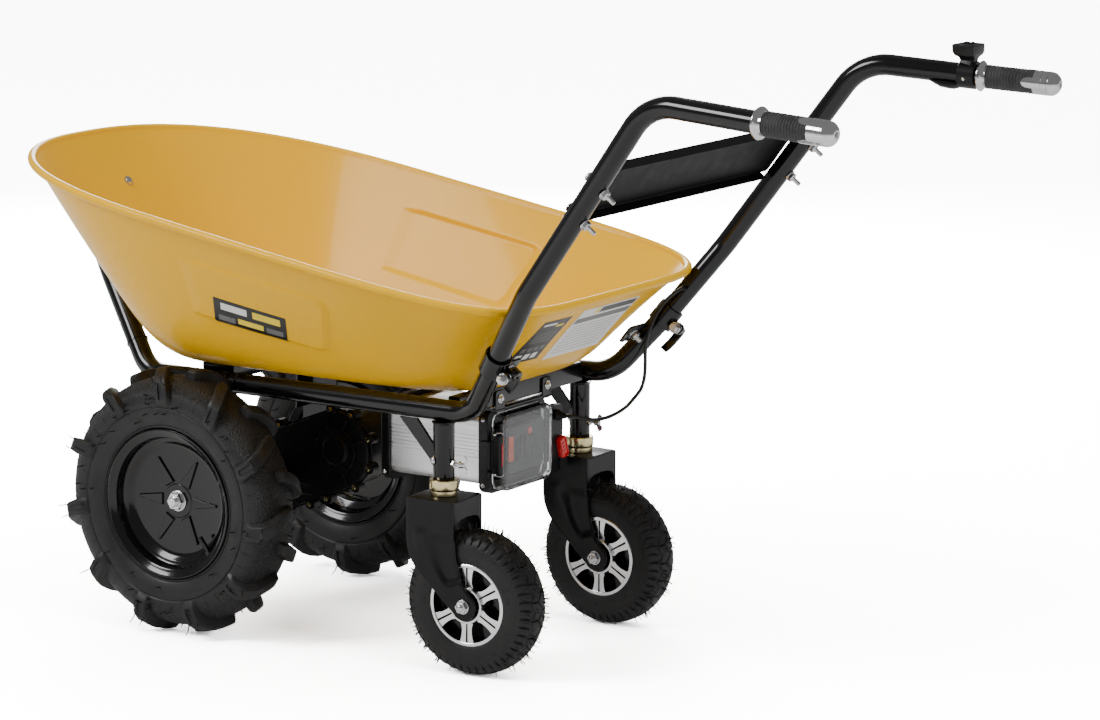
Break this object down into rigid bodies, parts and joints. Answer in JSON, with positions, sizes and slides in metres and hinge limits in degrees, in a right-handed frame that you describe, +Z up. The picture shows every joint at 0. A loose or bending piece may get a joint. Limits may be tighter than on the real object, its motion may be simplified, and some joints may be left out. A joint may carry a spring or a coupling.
{
  "type": "power wheelbarrow",
  "caption": "Powered wheelbarrow with a pressed steel tub on a tube frame, driven front wheels, swivelling rear casters and a rear battery box.",
  "frame": {"origin": "middle of the machine's length and width, on the ground under the wheels", "axes": "+X towards the handles, +Y to the operator's right, +Z up"},
  "size_m": [1.5623, 0.7066, 0.9285],
  "materials": {
    "tub_paint": "gloss enamel on pressed sheet",
    "black_paint": "semi-gloss powder coat",
    "rim_paint": "gloss enamel",
    "tyre": "matt rubber",
    "grip_rubber": "matt ribbed rubber",
    "chrome": "polished",
    "steel": "bright zinc",
    "yellow_zinc": "yellow passivated zinc",
    "aluminium": "brushed, fine grooves",
    "black_plastic": "fine grained",
    "clear_plastic": "clear, moulded",
    "red_plastic": "smooth"
  },
  "bodies": {
    "frame": {"tub": "tub_paint", "front_hoop": "black_paint", "rear_crossmember": "black_paint", "axle_crossmember": "black_paint", "gearbox_housing": "black_paint", "drive_motor": "black_paint", "crossbar_panel": "black_paint", "controller_housing": "aluminium", "box_front_cap": "black_plastic", "box_rear_frame": "black_plastic", "box_hanger": "black_paint", "motor_controller": "black_plastic", "battery_pack": "black_plastic", "cable_gland": "black_plastic", "control_cable": "black_plastic", "throttle_body": "black_plastic", "left_rail": "black_paint", "right_rail": "black_paint", "left_stem_tube": "black_paint", "right_stem_tube": "black_paint", "left_stem_gusset": "black_paint", "right_stem_gusset": "black_paint", "left_tub_bracket": "black_paint", "right_tub_bracket": "black_paint", "left_axle_bracket": "black_paint", "right_axle_bracket": "black_paint", "left_handle": "black_paint", "right_handle": "black_paint", "left_grip_core": "chrome", "right_grip_core": "chrome", "left_grip_rubber": "grip_rubber", "right_grip_rubber": "grip_rubber", "left_clamp_collar": "black_paint", "right_clamp_collar": "black_paint", "left_swivel_ring": "yellow_zinc", "right_swivel_ring": "yellow_zinc"},
    "left_drive_wheel": {"left_drive_shaft": "steel", "left_drive_rim": "rim_paint", "left_drive_tyre": "tyre"},
    "left_caster": {"left_caster_fork": "black_paint", "left_caster_spindle": "steel", "left_caster_axle": "steel"},
    "left_caster_wheel": {"left_caster_rim": "rim_paint", "left_caster_tyre": "tyre"},
    "left_lever": {"left_clamp_lever": "black_paint"},
    "right_drive_wheel": {"right_drive_shaft": "steel", "right_drive_rim": "rim_paint", "right_drive_tyre": "tyre"},
    "right_caster": {"right_caster_fork": "black_paint", "right_caster_spindle": "steel", "right_caster_axle": "steel"},
    "right_caster_wheel": {"right_caster_rim": "rim_paint", "right_caster_tyre": "tyre"},
    "right_lever": {"right_clamp_lever": "black_paint"},
    "throttle_thumb": {"throttle_lever": "black_plastic"},
    "direction_rocker": {"direction_switch": "black_plastic"},
    "cover": {"battery_cover": "clear_plastic"},
    "latch": {"cover_latch": "black_plastic"},
    "button": {"battery_button": "red_plastic"},
    "key": {"isolator_key": "red_plastic"}
  },
  "joints": [
    {"name": "left_drive_wheel_spin", "type": "hinge", "parent": "frame", "child": "left_drive_wheel", "pos_m": [-0.409, -0.2286, 0.207], "axis": [0, 1, 0], "continuous": true},
    {"name": "right_drive_wheel_spin", "type": "hinge", "parent": "frame", "child": "right_drive_wheel", "pos_m": [-0.409, 0.2286, 0.207], "axis": [0, 1, 0], "continuous": true},
    {"name": "left_caster_swivel", "type": "hinge", "parent": "frame", "child": "left_caster", "pos_m": [0.0474, -0.1863, 0.26], "axis": [0, 0, 1], "continuous": true},
    {"name": "right_caster_swivel", "type": "hinge", "parent": "frame", "child": "right_caster", "pos_m": [0.0474, 0.1863, 0.26], "axis": [0, 0, 1], "continuous": true},
    {"name": "left_caster_wheel_spin", "type": "hinge", "parent": "left_caster", "child": "left_caster_wheel", "pos_m": [0.10406, -0.18303, 0.1096], "axis": [-0.0576, 0.9983, 0], "continuous": true},
    {"name": "right_caster_wheel_spin", "type": "hinge", "parent": "right_caster", "child": "right_caster_wheel", "pos_m": [0.10414, 0.18511, 0.1096], "axis": [0.0209, 0.9998, 0], "continuous": true},
    {"name": "left_lever_throw", "type": "hinge", "parent": "frame", "child": "left_lever", "pos_m": [0.195, -0.2188, 0.4701], "axis": [0.8134, 0, -0.5817], "range_deg": [0, 104]},
    {"name": "right_lever_throw", "type": "hinge", "parent": "frame", "child": "right_lever", "pos_m": [0.1892, 0.2513, 0.462], "axis": [0.8134, 0, -0.5817], "range_deg": [0, 104]},
    {"name": "throttle_turn", "type": "hinge", "parent": "frame", "child": "throttle_thumb", "pos_m": [0.654, 0.3256, 0.8783], "axis": [0.9916, 0.1157, -0.0573], "range_deg": [0, 45], "stiffness_Nm_per_rad": 0.12},
    {"name": "direction_rock", "type": "hinge", "parent": "frame", "child": "direction_rocker", "pos_m": [0.637, 0.322, 0.923], "axis": [0, 1, 0], "range_deg": [-10, 10]},
    {"name": "cover_swing", "type": "hinge", "parent": "frame", "child": "cover", "pos_m": [0.054, 0.067, 0.307], "axis": [0, 0, 1], "range_deg": [0, 88]},
    {"name": "latch_swing", "type": "hinge", "parent": "cover", "child": "latch", "pos_m": [0.0725, -0.0678, 0.306], "axis": [0, 0, 1], "range_deg": [0, 75]},
    {"name": "button_press", "type": "slide", "parent": "frame", "child": "button", "axis": [-1, 0, 0], "range_m": [0, 0.002], "stiffness_N_per_m": 250},
    {"name": "key_turn", "type": "hinge", "parent": "frame", "child": "key", "pos_m": [0.058, 0.122, 0.284], "axis": [1, 0, 0], "range_deg": [0, 90]}
  ]
}
